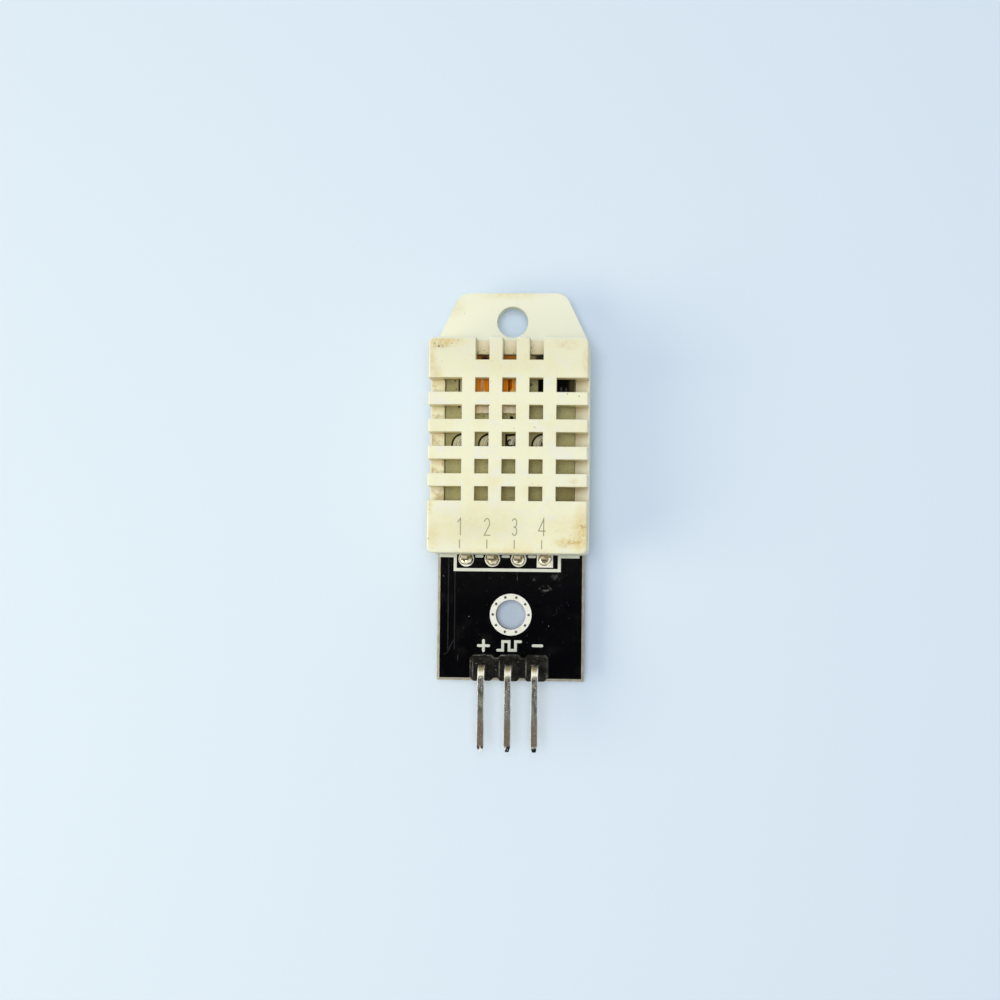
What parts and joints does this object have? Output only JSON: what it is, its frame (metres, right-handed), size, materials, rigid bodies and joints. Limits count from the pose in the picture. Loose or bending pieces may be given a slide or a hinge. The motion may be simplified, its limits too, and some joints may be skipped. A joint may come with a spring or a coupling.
{
  "type": "temperature humidity sensor",
  "caption": "Air temperature and humidity sensor: grilled case with a hanging tab on a carrier board that has a screw hole and a bent pin header.",
  "frame": {"origin": "under the middle of the whole outline, at the height of the tips of the soldered pins that it stands on", "axes": "+X across the case, +Y from the header pins towards the hanging tab, +Z out of the grille"},
  "size_m": [0.0152, 0.0438, 0.0105],
  "materials": {
    "case_plastic": "satin moulded plastic, a little yellowed",
    "board_mask": "glossy black solder mask over glass laminate",
    "inner_laminate": "bare glass laminate, khaki",
    "tinned_copper": "hot-air tinned copper, satin",
    "solder": "bright tin solder",
    "header_plastic": "black moulded plastic",
    "tinned_pin": "tinned brass, tarnished",
    "lead_metal": "tinned strip, dull",
    "pale_ceramic": "bare alumina",
    "orange_film": "orange polymer film",
    "element_black": "black moulded epoxy",
    "resistor_black": "black glazed",
    "capacitor_brown": "fired ceramic",
    "end_metal": "tinned ends"
  },
  "bodies": {
    "root": {"board_capacitor": "capacitor_brown", "board_capacitor_ends": "end_metal", "board_capacitor_lands": "tinned_copper", "board_capacitor_solder": "solder", "carrier_board": "board_mask", "controller_chip": "element_black", "controller_feet": "lead_metal", "grille_cover": "case_plastic", "header_base": "header_plastic", "header_pad_1": "tinned_copper", "header_pad_2": "tinned_copper", "header_pad_3": "tinned_copper", "header_pin_1": "tinned_pin", "header_pin_2": "tinned_pin", "header_pin_3": "tinned_pin", "header_solder_1": "solder", "header_solder_2": "solder", "header_solder_3": "solder", "humidity_film": "orange_film", "humidity_substrate": "pale_ceramic", "humidity_wires": "lead_metal", "inner_board": "inner_laminate", "inner_capacitor": "capacitor_brown", "inner_capacitor_ends": "end_metal", "inner_capacitor_lands": "tinned_copper", "inner_capacitor_solder": "solder", "inner_pad_1": "tinned_copper", "inner_pad_2": "tinned_copper", "inner_pad_3": "tinned_copper", "inner_pad_4": "tinned_copper", "inner_solder_1": "solder", "inner_solder_2": "solder", "inner_solder_3": "solder", "inner_solder_4": "solder", "mounting_ring": "tinned_copper", "pull_up_resistor": "resistor_black", "pull_up_resistor_ends": "end_metal", "pull_up_resistor_lands": "tinned_copper", "pull_up_resistor_solder": "solder", "rear_shell": "case_plastic", "sensor_lead_1": "lead_metal", "sensor_lead_2": "lead_metal", "sensor_lead_3": "lead_metal", "sensor_lead_4": "lead_metal", "sensor_pad_1": "tinned_copper", "sensor_pad_2": "tinned_copper", "sensor_pad_3": "tinned_copper", "sensor_pad_4": "tinned_copper", "sensor_solder_1": "solder", "sensor_solder_2": "solder", "sensor_solder_3": "solder", "sensor_solder_4": "solder", "temperature_element": "element_black", "temperature_feet": "lead_metal"}
  },
  "joints": []
}
